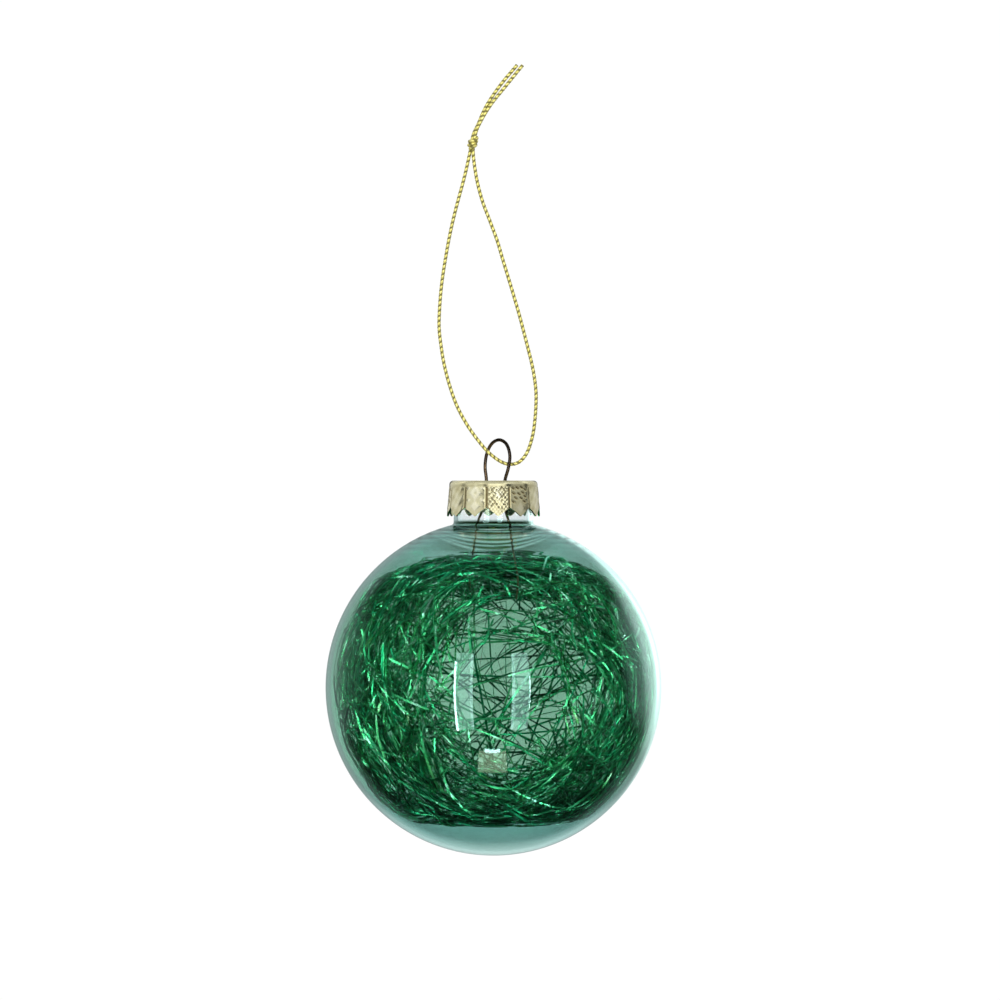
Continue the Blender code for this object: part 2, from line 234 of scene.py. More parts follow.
def new_piece(name, mesh, material, body, replaced=()):
    """Shows a mesh as a piece that rides on a body and stands for the frame's nodes named."""
    piece = new_object(name, mesh)
    mesh.materials.append(material)
    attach(piece, body)
    if replaced:
        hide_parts(*replaced)
    return piece


def mesh_of(name, points, faces, smooth=True):
    mesh = bpy.data.meshes.new(name)
    mesh.from_pydata(np.asarray(points).tolist(), [], faces)
    mesh.update()
    if smooth:
        mesh.shade_smooth()
    return mesh


def add_attribute(mesh, name, values):
    attribute = mesh.attributes.new(name, "FLOAT", "POINT")
    attribute.data.foreach_set("value", np.asarray(values, np.float32))


def arc(centre, radius, start, end, steps):
    """Points on an arc, with angles measured from the horizontal."""
    angles = np.linspace(start, end, steps + 1)
    return [(centre[0] + radius * math.cos(a), centre[1] + radius * math.sin(a)) for a in angles]


def ring_faces(rings, sides):
    """Quads between rings of points, one ring after another."""
    faces = []
    for i in range(rings - 1):
        for j in range(sides):
            k = (j + 1) % sides
            faces.append((i * sides + j, i * sides + k, (i + 1) * sides + k, (i + 1) * sides + j))
    return faces


def lengths(path):
    """How far along a path each of its points is."""
    return np.concatenate([[0.0], np.cumsum(np.linalg.norm(np.diff(path, axis=0), axis=1))])


def smooth_route(points, step):
    """Evenly spaced points on a smooth curve through the route's own points."""
    points = [np.array(p, float) for p in points]
    ends = [2 * points[0] - points[1]] + points + [2 * points[-1] - points[-2]]
    fine = []
    for before, a, b, after in zip(ends, ends[1:], ends[2:], ends[3:]):
        for t in np.linspace(0.0, 1.0, 24, endpoint=False):
            fine.append(0.5 * (
                2 * a
                + (b - before) * t
                + (2 * before - 5 * a + 4 * b - after) * t**2
                + (3 * a - before - 3 * b + after) * t**3
            ))
    fine.append(points[-1])
    fine = np.array(fine)
    along = lengths(fine)
    places = np.linspace(0.0, along[-1], max(2, round(along[-1] / step)) + 1)
    return np.stack([np.interp(places, along, fine[:, i]) for i in range(3)], axis=1)


def carried_frames(paths):
    """Unit tangents, normals and binormals of paths of shape (count, points, 3), without twisting."""
    tangents = np.gradient(paths, axis=1)
    tangents /= np.linalg.norm(tangents, axis=2, keepdims=True)
    first = tangents[:, 0]
    helper = np.where(np.abs(first[:, 2:3]) < 0.9, np.array([[0.0, 0.0, 1.0]]), np.array([[1.0, 0.0, 0.0]]))
    normal = np.cross(first, helper)
    normals = []
    for i in range(paths.shape[1]):
        tangent = tangents[:, i]
        normal = normal - tangent * np.sum(normal * tangent, axis=1, keepdims=True)
        normal /= np.linalg.norm(normal, axis=1, keepdims=True)
        normals.append(normal)
    normals = np.stack(normals, axis=1)
    return tangents, normals, np.cross(tangents, normals)


def outward(mesh):
    bm = bmesh.new()
    bm.from_mesh(mesh)
    bmesh.ops.recalc_face_normals(bm, faces=bm.faces)
    bm.to_mesh(mesh)
    bm.free()


def tube_mesh(name, path, radii):
    """A closed tube round a path. radii has the shape (points, 1) or (points, TUBE_SIDES)."""
    _, normals, binormals = carried_frames(path[None])
    turns = np.linspace(0.0, 2 * math.pi, TUBE_SIDES, endpoint=False)
    offsets = normals[0][:, None] * np.cos(turns)[None, :, None]
    offsets = offsets + binormals[0][:, None] * np.sin(turns)[None, :, None]
    points = (path[:, None] + offsets * radii[:, :, None]).reshape(-1, 3)
    faces = [face[::-1] for face in ring_faces(len(path), TUBE_SIDES)]
    faces.append(tuple(range(TUBE_SIDES)))
    faces.append(tuple(range(len(points) - 1, len(points) - TUBE_SIDES - 1, -1)))
    mesh = mesh_of(name, points, faces)
    outward(mesh)
    return mesh


# ---- materials

class Nodes:
    """A node tree, and short ways to add to it."""

    def __init__(self, tree):
        self.tree = tree

    def add(self, kind, **values):
        node = self.tree.nodes.new(kind)
        for key, value in values.items():
            setattr(node, key, value)
        return node

    def link(self, source, target):
        self.tree.links.new(source, target)

    def feed(self, value, socket):
        """Links a socket to another one, or sets it to a number or to a colour of three numbers."""
        if isinstance(value, bpy.types.NodeSocket):
            self.link(value, socket)
        else:
            socket.default_value = (*value, 1.0) if isinstance(value, tuple) else value

    def spread(self, value, low, high, to_low, to_high, kind="LINEAR"):
        node = self.add("ShaderNodeMapRange", interpolation_type=kind)
        for number, given in enumerate((value, low, high, to_low, to_high)):
            self.feed(given, node.inputs[number])
        return node.outputs["Result"]


class Material(Nodes):
    """A material's nodes, round its shader."""

    def __init__(self, name):
        self.material = bpy.data.materials.new(name)
        self.material.use_nodes = True
        super().__init__(self.material.node_tree)
        self.shader = self.tree.nodes["Principled BSDF"]
        self.output = self.tree.nodes["Material Output"]

    def set(self, **values):
        """Sets the shader's sockets, named with _ for spaces, to values or to what other sockets say."""
        for key, value in values.items():
            self.feed(value, self.shader.inputs[key.replace("_", " ")])

    def place(self):
        return self.add("ShaderNodeTexCoord").outputs["Object"]

    def height(self):
        node = self.add("ShaderNodeSeparateXYZ")
        self.link(self.place(), node.inputs["Vector"])
        return node.outputs["Z"]

    def noise(self, scale, detail):
        node = self.add("ShaderNodeTexNoise")
        node.inputs["Scale"].default_value = scale
        node.inputs["Detail"].default_value = detail
        self.link(self.place(), node.inputs["Vector"])
        return node.outputs["Fac"]

    def attribute(self, name):
        return self.add("ShaderNodeAttribute", attribute_name=name).outputs["Fac"]

    def ramp(self, value, stops):
        """stops are (place, colour), with a colour of three linear numbers."""
        node = self.add("ShaderNodeValToRGB")
        elements = node.color_ramp.elements
        while len(elements) < len(stops):
            elements.new(0.5)
        for element, (place, colour) in zip(elements, stops):
            element.position = place
            element.color = (*colour, 1.0)
        self.link(value, node.inputs["Fac"])
        return node.outputs["Color"]

    def blend(self, kind, share, a, b):
        """Mixes two colours. All three are values or sockets."""
        node = self.add("ShaderNodeMix", data_type="RGBA", blend_type=kind)
        for number, given in ((0, share), (6, a), (7, b)):
            self.feed(given, node.inputs[number])
        return node.outputs[2]

    def bump(self, height, strength, distance):
        node = self.add("ShaderNodeBump")
        node.inputs["Strength"].default_value = strength
        node.inputs["Distance"].default_value = distance
        self.link(height, node.inputs["Height"])
        self.set(Normal=node.outputs["Normal"])


def glass_material():
    """Blue-green glass, palest at the bottom and clear in the neck, with dark and pale lines below the neck
    painted as reflections of its rings. Light for the tinsel passes it.
    """
    n = Material("tinted_glass")
    n.set(Roughness=0.0, IOR=1.45, Transmission_Weight=1.0, Specular_Tint=(0.62, 1.0, 0.97))
    low, high = BALL_CENTRE.z - BALL_R, BALL_CENTRE.z + NECK_HEIGHT
    tint = n.ramp(n.spread(n.height(), low, high, 0.0, 1.0), [
        (0.0, (0.68, 0.82, 0.79)),
        (0.025, (0.50, 0.71, 0.67)),
        (0.05, (0.39, 0.64, 0.61)),
        (0.12, (0.40, 0.64, 0.59)),
        (0.26, (0.47, 0.69, 0.58)),
        (0.70, (0.46, 0.67, 0.565)),
        (0.80, (0.49, 0.71, 0.66)),
        (0.87, (0.53, 0.76, 0.73)),
        (0.893, (0.50, 0.72, 0.69)),
        (0.906, (0.90, 0.95, 0.96)),
        (0.93, (0.97, 0.99, 1.0)),
    ])
    cloud = n.ramp(n.noise(65.0, 2.0), [(0.35, (0.90, 0.95, 0.94)), (0.65, WHITE)])
    tint = n.blend("MULTIPLY", 1.0, tint, cloud)
    # Painted ring reflections: dark lines and pale highlight lines mixed into the glass's tint.
    tint = n.blend("MIX", n.attribute("ring"), tint, (0.012, 0.048, 0.004))
    tint = n.blend("MIX", n.attribute("pale_ring"), tint, (1.0, 1.0, 0.95))
    n.set(Base_Color=tint)
    clear = n.add("ShaderNodeBsdfTransparent")
    n.feed((0.70, 0.82, 0.79), clear.inputs["Color"])
    path = n.add("ShaderNodeLightPath")
    mix = n.add("ShaderNodeMixShader")
    n.link(path.outputs["Is Shadow Ray"], mix.inputs["Fac"])
    n.link(n.shader.outputs["BSDF"], mix.inputs[1])
    n.link(clear.outputs["BSDF"], mix.inputs[2])
    n.link(mix.outputs["Shader"], n.output.inputs["Surface"])
    return n.material


def cap_material():
    """Pale gold sheet, with painted shade in the hollows and creases of its relief and painted light on its
    raised parts.
    """
    n = Material("embossed_gold")
    n.set(Metallic=1.0)
    # The relief's height painted as light and shade: dark in hollows and creases, pale on raised parts.
    tone = n.ramp(n.attribute("relief"), [
        (0.0, (0.16, 0.13, 0.06)),
        (0.28, (0.42, 0.37, 0.20)),
        (0.5, (0.72, 0.69, 0.44)),
        (0.8, (0.95, 0.93, 0.70)),
    ])
    worn = n.ramp(n.noise(420.0, 4.0), [(0.35, (0.86, 0.82, 0.74)), (0.65, WHITE)])
    n.set(Base_Color=n.blend("MULTIPLY", 0.6, tone, worn))
    n.set(Roughness=n.spread(n.noise(900.0, 3.0), 0.3, 0.7, 0.14, 0.26))
    n.bump(n.noise(1500.0, 2.0), 0.15, 0.00003)
    return n.material


def wire_material():
    """Dark bronzed spring wire with worn, browner stretches. Its legs are barer than its eye."""
    n = Material("bronzed_wire")
    n.set(Metallic=0.85)
    bronze = n.ramp(n.noise(260.0, 4.0), [
        (0.35, (0.035, 0.026, 0.018)),
        (0.55, (0.10, 0.068, 0.042)),
        (0.75, (0.26, 0.17, 0.10)),
    ])
    bare = n.ramp(n.noise(500.0, 3.0), [(0.35, (0.13, 0.085, 0.05)), (0.65, (0.30, 0.22, 0.13))])
    share = n.spread(n.height(), -14.0 * MM, -20.0 * MM, 0.0, 1.0)
    n.set(Base_Color=n.blend("MIX", share, bronze, bare))
    n.set(Roughness=n.spread(n.noise(1200.0, 2.0), 0.3, 0.7, 0.24, 0.42))
    n.bump(n.noise(2200.0, 2.0), 0.2, 0.00002)
    return n.material


def cord_material():
    """Gold foil ply and dark olive ply, told apart by the mesh's own attribute."""
    n = Material("foil_cord")
    ply = n.attribute("foil")
    foil = n.ramp(n.noise(1600.0, 2.0), [(0.3, (0.68, 0.60, 0.13)), (0.7, (0.93, 0.86, 0.32))])
    thread = n.ramp(n.noise(2400.0, 2.0), [(0.3, (0.12, 0.105, 0.02)), (0.7, (0.24, 0.21, 0.045))])
    n.set(Base_Color=n.blend("MIX", ply, thread, foil))
    n.set(Metallic=n.spread(ply, 0.0, 1.0, 0.0, 0.75))
    n.set(Roughness=n.spread(ply, 0.0, 1.0, 0.62, 0.30))
    n.bump(n.noise(5200.0, 2.0), 0.35, 0.00003)
    return n.material


def film_material(name, toned):
    """Green metallised film. Strands that carry a tone of their own differ in colour and gloss; the tones
    paint them as lit or shaded, and paint near-white glints at some points.
    """
    n = Material(name)
    n.set(Metallic=1.0, Coat_Weight=1.0, Coat_Roughness=0.06)
    tone = n.attribute("tone") if toned else n.noise(90.0, 1.0)
    # Low tones are painted shade, high tones painted light, and the top tone a painted near-white glint.
    colour = n.ramp(tone, [
        (0.0, (0.001, 0.048, 0.020)),
        (0.45, (0.014, 0.25, 0.115)),
        (0.88, (0.12, 0.54, 0.25)),
        (1.0, (0.75, 1.0, 0.90)),
    ])
    crease = n.ramp(n.noise(700.0, 2.0), [(0.3, (0.72, 0.78, 0.74)), (0.6, WHITE)])
    n.set(Base_Color=n.blend("MULTIPLY", 0.7, colour, crease))
    n.set(Roughness=n.spread(tone, 0.0, 1.0, 0.36, 0.24))
    n.bump(n.noise(800.0, 2.0), 0.3, 0.00004)
    return n.material


# ---- cord and camera

def make_camera():
    camera = new_object("camera", bpy.data.cameras.new("camera"))
    camera.data.sensor_width = SENSOR
    camera.data.lens = SENSOR * CAMERA_DISTANCE / FRAME_WIDTH
    middle = (cad_low + cad_high) / 2 + CAMERA_OFFSET
    camera.location = (middle.x, -CAMERA_DISTANCE, middle.z)
    camera.rotation_euler = (math.pi / 2, 0.0, 0.0)
    bpy.context.scene.camera = camera


def twisted_cord(name, path):
    """A two-ply cord: a two-lobed section that turns along a path, and which ply each point is on."""
    turns = np.linspace(0.0, 2 * math.pi, TUBE_SIDES, endpoint=False)
    phase = turns[None] - 2 * math.pi * lengths(path)[:, None] / CORD_TWIST
    mesh = tube_mesh(name, path, CORD_D / 2 * (0.86 + 0.16 * np.abs(np.cos(phase))))
    add_attribute(mesh, "foil", np.clip(np.cos(phase) * 2.6 + 1.1, 0.0, 1.0).ravel())
    return mesh


def make_cord(material):
    """One cord from one tail's tip, through the knot, round the loop and back to the other tip."""
    route = [Vector(p) * MM for p in reversed(LEFT_TAIL_ROUTE)]
    route += [Vector(p) * MM for p in CORD_LOOP_ROUTE]
    route += [Vector(p) * MM for p in RIGHT_TAIL_ROUTE]
    path = smooth_route(route, CORD_STEP)
    mesh = twisted_cord("hanging_cord", path)
    cord = new_piece(
        "hanging_cord", mesh, material, "hanger",
        ("cord_loop", "cord_tail_left", "cord_tail_right"),
    )
    knot = make_knot(material)


def make_knot(material):
    """The wraps of the overhand knot round the two strands, with their ends tucked in."""
    turns = np.linspace(-0.35, 2.0, 90)
    radius = 0.86 * MM * np.clip(np.minimum(turns + 0.55, 2.2 - turns) * 4.0, 0.3, 1.0)
    angle = 2 * math.pi * turns
    rise = (turns - 0.82) * 0.86 * MM
    lean = 0.35 * MM * np.sin(angle + 0.8)
    centre = np.array(KNOT_AT)
    path = np.stack([
        centre[0] + radius * np.cos(angle) + 0.18 * (turns - 0.8) * MM,
        centre[1] + radius * np.sin(angle),
        centre[2] + rise + lean,
    ], axis=1)
    mesh = twisted_cord("knot_wraps", smooth_route(path, CORD_STEP))
    return new_piece("knot_wraps", mesh, material, "hanger", ("cord_knot",))


# ---- glass, hanger and cap

def ripple(angle):
    """How far the glass stands out at an angle from the top, where rings run round the shoulder."""
    if not RIPPLE_FROM < angle < RIPPLE_TO:
        return 0.0
    share = (angle - RIPPLE_FROM) / (RIPPLE_TO - RIPPLE_FROM)
    fade = math.sin(math.pi * share) ** 0.7 * (1.25 - share)
    return RIPPLE_HEIGHT * fade * math.sin(2 * math.pi * angle * BALL_R / RIPPLE_PITCH)


def ball_profile():
    """Up the outside from the bottom, over the lip of the neck, and down the inside."""
    fillet_x = NECK_R + NECK_FILLET
    fillet_z = math.sqrt((BALL_R + NECK_FILLET) ** 2 - fillet_x**2)
    top_angle = math.atan2(fillet_x, fillet_z)
    coarse = np.linspace(math.pi, RIPPLE_TO, 84, endpoint=False)
    fine = np.linspace(RIPPLE_TO, top_angle, 80)
    outer = [((BALL_R + ripple(a)) * math.sin(a), (BALL_R + ripple(a)) * math.cos(a))
             for a in [*coarse, *fine]]
    outer[0] = (0.0, -BALL_R)
    fillet = arc((fillet_x, fillet_z), NECK_FILLET, -math.pi / 2 - top_angle, -math.pi, 8)
    lip = WALL / 2
    straight = NECK_HEIGHT - lip - fillet_z
    neck = []
    for share in np.linspace(0.06, 0.96, 22):
        bead = NECK_BEAD * math.sin(share * 9.0) ** 2
        neck.append((NECK_R - bead, fillet_z + straight * share))
    rim = arc((NECK_R - lip, NECK_HEIGHT - lip), lip, 0.0, math.pi, 8)
    inner_r = BALL_R - WALL
    corner_r = NECK_FILLET + WALL
    bore = [(NECK_R - WALL, z) for z in np.linspace(NECK_HEIGHT - 2 * lip, fillet_z, 24)]
    corner = arc((fillet_x, fillet_z), corner_r, math.pi, 1.5 * math.pi - top_angle, 10)
    inner = [(inner_r * math.sin(a), inner_r * math.cos(a))
             for a in np.linspace(top_angle, math.pi, 90)]
    inner[-1] = (0.0, -inner_r)
    return outer + fillet[1:] + neck + rim + bore[:-1] + corner + inner[1:]


def painted_ring_share(points):
    """How dark the painted ring reflections and their zone are at points round the ball's centre, strongest
    at the front. Below 0 is a pale painted highlight.
    """
    x, height = points[:, 0], points[:, 2]
    turn = np.arctan2(x, np.abs(points[:, 1]))
    share = np.full(len(points), 0.94)
    for number, (level, width, strength) in enumerate(PAINTED_RING_LINES):
        bow = (39.25 - level) * MM * RING_BOW * (x / (12 * MM)) ** 2
        wave = 0.06 * MM * np.sin(7 * turn + 1.7 * number)
        line = (height - level * MM - bow - wave) / (width * MM)
        share += strength * np.exp(-(line**2))
    low, high = RING_ZONE
    zone = np.exp(-((x / RING_ZONE_HALF) ** 4))
    zone = zone * np.clip((height - low) / (1.6 * MM), 0.0, 1.0) * (height < high)
    outside = np.linalg.norm(points, axis=1) > BALL_R - WALL / 2
    front = np.clip(0.5 - points[:, 1] / (4 * MM), 0.5, 1.0)
    return np.clip(share, -0.9, 1.0) * zone * outside * front


def make_ball(material):
    profile = ball_profile()
    turns = np.linspace(0.0, 2 * math.pi, BALL_SEGMENTS, endpoint=False)
    rings = [
        [(r * math.cos(a), r * math.sin(a), z) for a in turns] for r, z in profile[1:-1]
    ]
    points = np.array(rings).reshape(-1, 3)
    faces = ring_faces(len(rings), BALL_SEGMENTS)
    first, last = len(points), len(points) + 1
    points = np.vstack([points, [(0.0, 0.0, profile[0][1]), (0.0, 0.0, profile[-1][1])]])
    end = (len(rings) - 1) * BALL_SEGMENTS
    for j in range(BALL_SEGMENTS):
        k = (j + 1) % BALL_SEGMENTS
        faces.append((j, first, k))
        faces.append((end + j, end + k, last))
    mesh = mesh_of("glass_ball_blown", points + np.array(BALL_CENTRE), faces)
    # Painted ring reflections: dark lines in one attribute, pale highlight lines in the other.
    rings = painted_ring_share(points)
    add_attribute(mesh, "ring", np.maximum(rings, 0.0))
    add_attribute(mesh, "pale_ring", np.maximum(-rings, 0.0))
    outward(mesh)
    new_piece("glass_ball_blown", mesh, material, "ball", ("glass_ball",))


def hanger_point(along, up):
    return Vector((along * math.cos(HANGER_YAW), along * math.sin(HANGER_YAW), up))


def make_hanger(material):
    route = [hanger_point(along * MM, up * MM) for along, up in HANGER_ROUTE]
    path = smooth_route(route, 0.45 * MM)
    thinned = np.interp(path[:, 2], (LEG_END_Z, LEG_TOP_Z), (LEG_THINNING, 1.0))
    mesh = tube_mesh("hanger_spring", path, WIRE_D / 2 * thinned[:, None])
    new_piece("hanger_spring", mesh, material, "hanger", ("hanger_wire",))


def ridge(distance, width):
    return np.exp(-((distance / width) ** 2))


def pad(distance):
    """A raised pad: 1 well inside a distance of 1, and 0 outside it."""
    return 1.0 / (1.0 + np.exp((distance - 0.85) * 6.0))


def panel_relief(across, down, edge, kind):
    """Height of the embossing, for places in millimetres across a panel from its middle and down from the
    cap's top. edge is how far the panel's edge is. Four motifs take turns round the cap."""
    side = np.abs(across)
    out = -0.2 * ridge(down - 1.3, 0.25)
    if kind == 0:
        out += 0.22 * np.sin(down * 2.3 + across) * np.cos(across * 1.9) * (down > 1.5)
        out += 0.3 * pad(side / 1.5 + np.abs(down - 5.2) / 2.6)
    elif kind == 1:
        out += 0.85 * pad(side / 1.7 + np.abs(down - 3.0) / 1.9)
        out -= 0.65 * ridge(np.hypot(across, down - 3.0), 0.5)
        out += 0.75 * pad(side / 1.35 + np.abs(down - 6.1) / 1.4)
        out += 0.5 * ridge(np.hypot(side - 1.7, down - 4.7), 0.45)
        out += 0.5 * ridge(np.hypot(side - 1.75, down - 1.8), 0.4)
    elif kind == 2:
        wave = across * 6.6 + 0.8 * np.sin(down * 1.7)
        out += 0.26 * np.cos(wave) * np.cos(down * 5.6) * (down > 1.5)
        out += 0.6 * pad(side / 1.2 + np.abs(down - 3.0) / 1.7)
        vine = across + 1.15 + 0.42 * np.sin(down * 3.4)
        out -= 0.9 * ridge(vine, 0.14) * (down > 1.7) * (down < 6.2)
        out -= 0.8 * ridge(np.abs(across - 0.9) + np.abs(down - 2.7) / 1.3 - 0.9, 0.14)
        for x, y in FILIGREE_DOTS:
            out -= 0.9 * ridge(np.hypot(across - x, down - y), 0.17)
    else:
        for x, y, lean in DIMPLES:
            along = (across - x) * math.cos(lean) + (down - y) * math.sin(lean)
            off = (down - y) * math.cos(lean) - (across - x) * math.sin(lean)
            out -= 1.4 * ridge(np.hypot(along / 1.9, off), 0.22)
        out += 0.45 * pad(side / 1.3 + np.abs(down - 6.5) / 1.4)
    # Creases at the panels' edges; their depth is also painted as dark shade on the cap.
    out -= 1.5 * ridge(edge, CREASE_WIDTHS[kind]) * (down > CREASE_TOP)
    return np.clip(out, -1.2, 1.0)


def circle(turn, radius, height):
    return np.stack([radius * np.cos(turn), radius * np.sin(turn), height], axis=1)


def cap_grid():
    """Places on the cap's outside: the turn round, the radius, the height, and the embossing."""
    columns = CAP_PANELS * PANEL_COLUMNS
    share = (np.arange(columns) % PANEL_COLUMNS) / PANEL_COLUMNS  # 0 at a valley
    turn = -math.pi / 2 + TOOTH_TURN - math.pi / CAP_PANELS
    turn = turn + np.arange(columns) * 2 * math.pi / columns
    panel = np.arange(columns) // PANEL_COLUMNS
    away = np.abs(2 * share - 1)  # 0 at a tip, 1 at a valley
    bottom = TOOTH_TIP + (TOOTH_VALLEY - TOOTH_TIP) * away - 0.1 * MM * np.sin(3 * math.pi * away) * away
    start = CAP_TOP - CAP_SHOULDER
    plain = [(r, CAP_TOP) for r in np.linspace(0.0, CAP_FLAT_R, TOP_ROWS + 1)[1:]]
    plain += arc((CAP_FLAT_R, start), CAP_SHOULDER, math.pi / 2, 0.0, 8)[1:]
    rows = [(np.full(columns, r), np.full(columns, z), np.zeros(columns)) for r, z in plain]
    for t in np.linspace(0.0, 1.0, SKIRT_ROWS + 1)[1:]:
        z = start + (bottom - start) * t
        flare = (start - z) / (start - TOOTH_TIP)
        r = CAP_TOP_R + (CAP_RIM_R - CAP_TOP_R) * flare
        across = (share - 0.5) * 2 * math.pi / CAP_PANELS * r / MM
        edge = math.pi / CAP_PANELS * r / MM - np.abs(across)
        down = (CAP_TOP - z) / MM
        relief = np.zeros(columns)
        for kind in range(4):
            chosen = (panel + 2) % 4 == kind
            relief[chosen] = panel_relief(across[chosen], down[chosen], edge[chosen], kind)
        rows.append((r, z, relief))
    return turn, rows


def cap_mesh():
    """The outside has the relief. The inside is a sheet's thickness below the top, or within the skirt."""
    turn, rows = cap_grid()
    columns = len(turn)
    outside, inside, relief = [], [], []
    for r, z, height in rows:
        outside.append(circle(turn, r + height * RELIEF / 2, z))
        flat = r[0] < CAP_FLAT_R + 0.1 * MM
        inside.append(circle(turn, r, z - CAP_SHEET) if flat else circle(turn, r - CAP_SHEET, z))
        relief.append(height)
    points = np.vstack(outside + inside + [[(0, 0, CAP_TOP), (0, 0, CAP_TOP - CAP_SHEET)]])
    half = len(rows) * columns
    faces = ring_faces(len(rows), columns)
    faces += [tuple(i + half for i in reversed(face)) for face in faces]
    first, last = 2 * half, 2 * half + 1
    rim = (len(rows) - 1) * columns
    for j in range(columns):
        k = (j + 1) % columns
        faces.append((first, k, j))
        faces.append((last, half + j, half + k))
        faces.append((rim + j, rim + k, half + rim + k, half + rim + j))
    points += np.array(BALL_CENTRE)
    mesh = mesh_of("crown_cap_embossed", points, faces)
    # The relief's height, kept to paint shade in the hollows and light on the raised parts; the inside is
    # left even.
    shade = np.concatenate([np.clip(np.array(relief).ravel() * 0.5 + 0.5, 0, 1), np.full(half + 2, 0.5)])
    add_attribute(mesh, "relief", shade)
    outward(mesh)
    return mesh


def cap_cutter():
    """The two holes for the wire, as one mesh."""
    bm = bmesh.new()
    for along in (LEFT_HOLE_AT, RIGHT_HOLE_AT):
        place = Matrix.Translation(hanger_point(along, BALL_CENTRE.z + CAP_TOP))
        bmesh.ops.create_cone(bm, cap_ends=True, segments=32, radius1=WIRE_HOLE_R,
                              radius2=WIRE_HOLE_R, depth=3 * MM, matrix=place)
    mesh = bpy.data.meshes.new("cap_cutter")
    bm.to_mesh(mesh)
    bm.free()
    return new_object("cap_cutter", mesh)


def make_cap(material):
    mesh = cap_mesh()
    cap = new_piece(mesh.name, mesh, material, "cap", ("crown_cap",))
    cutter = cap_cutter()
    cut = cap.modifiers.new("Cut", "BOOLEAN")
    cut.operation = "DIFFERENCE"
    cut.object = cutter
    bpy.context.view_layer.update()
    done = bpy.data.meshes.new_from_object(cap.evaluated_get(bpy.context.evaluated_depsgraph_get()))
    cap.modifiers.clear()
    cap.data = done
    done.set_sharp_from_angle(angle=math.radians(50.0))
    bpy.data.objects.remove(cutter)


# ---- tinsel

def unit(vectors):
    return vectors / np.linalg.norm(vectors, axis=-1, keepdims=True)


def keep_inside(places, headings, reach, tops, bottoms, hollows):
    """Keeps points inside the glass, between the tinsel's domed top and bottom, and out of the hollow. A
    strand that meets a limit goes on along it."""
    from_middle = (places[:, 0] ** 2 + places[:, 1] ** 2) / DOME_R**2
    for limits, sign, dome in ((tops, 1.0, TOP_DOME), (bottoms, -1.0, BOTTOM_DOME)):
        limits = limits - sign * dome * from_middle
        over = places[:, 2] * sign > limits * sign
        places[over, 2] = limits[over]
        headings[over, 2] *= 0.1
    from_axis = places[:, [0, 2]] - np.array(HOLLOW_AT)
    far = np.linalg.norm(from_axis, axis=1)
    inside = far < hollows
    push = from_axis[inside] / far[inside, None] * (hollows[inside] - far[inside])[:, None]
    places[inside, 0] += push[:, 0]
    places[inside, 2] += push[:, 1]
    size = np.linalg.norm(places, axis=1)
    over = size > reach
    normal = places[over] / size[over, None]
    places[over] = normal * reach[over, None]
    along = np.sum(headings[over] * normal, axis=1, keepdims=True)
    headings[over] -= normal * np.maximum(along, 0.0)
    return places, unit(headings)


def round_axis(places):
    """Unit directions that run round the hollow's axis."""
    from_axis = places - np.array([HOLLOW_AT[0], 0.0, HOLLOW_AT[1]])
    return unit(np.stack([from_axis[:, 2], np.zeros(len(places)), -from_axis[:, 0]], axis=1))


def grow(rng, starts, headings, steps, step, hollows, follow=0.0, wobble=0.008):
    """Strands that grow both ways from their starts, drawn round the wreath by a share called follow."""
    count = len(starts)
    reach = TINSEL_R - rng.uniform(0.0, EDGE_DEPTH, count) * MM
    tops = TINSEL_TOP - np.abs(rng.normal(0.0, TOP_SPREAD, count)) * MM
    bottoms = TINSEL_BOTTOM + np.abs(rng.normal(BOTTOM_RISE, BOTTOM_SPREAD, count)) * MM
    halves = []
    for sign in (1.0, -1.0):
        places, ways = keep_inside(starts.copy(), headings * sign, reach, tops, bottoms, hollows)
        half = [places.copy()]
        for _ in range(steps // 2):
            round_way = round_axis(places)
            round_way *= np.sign(np.sum(round_way * ways, axis=1, keepdims=True) + 1e-9)
            ways = unit(ways * (1 - follow) + round_way * follow + rng.normal(0.0, wobble, (count, 3)))
            places = places + ways * step[:, None]
            places, ways = keep_inside(places, ways, reach, tops, bottoms, hollows)
            half.append(places.copy())
        halves.append(half)
    return np.stack(halves[1][:0:-1] + halves[0], axis=1)


def clear_of_hanger(paths):
    """Which strands stay out of the thin upright slab that the hanger's legs slide in."""
    from_eye = paths + np.array(BALL_CENTRE)
    along = from_eye[..., 0] * math.cos(HANGER_YAW) + from_eye[..., 1] * math.sin(HANGER_YAW)
    across = -from_eye[..., 0] * math.sin(HANGER_YAW) + from_eye[..., 1] * math.cos(HANGER_YAW)
    near = (along > SLAB_FROM) & (along < SLAB_TO) & (paths[..., 2] > SLAB_LOW)
    touching = near & (np.abs(across) < SLAB_HALF)
    side = np.sign(across)
    crossing = (side[:, 1:] != side[:, :-1]) & near[:, 1:] & near[:, :-1]
    return ~(touching.any(axis=1) | crossing.any(axis=1))


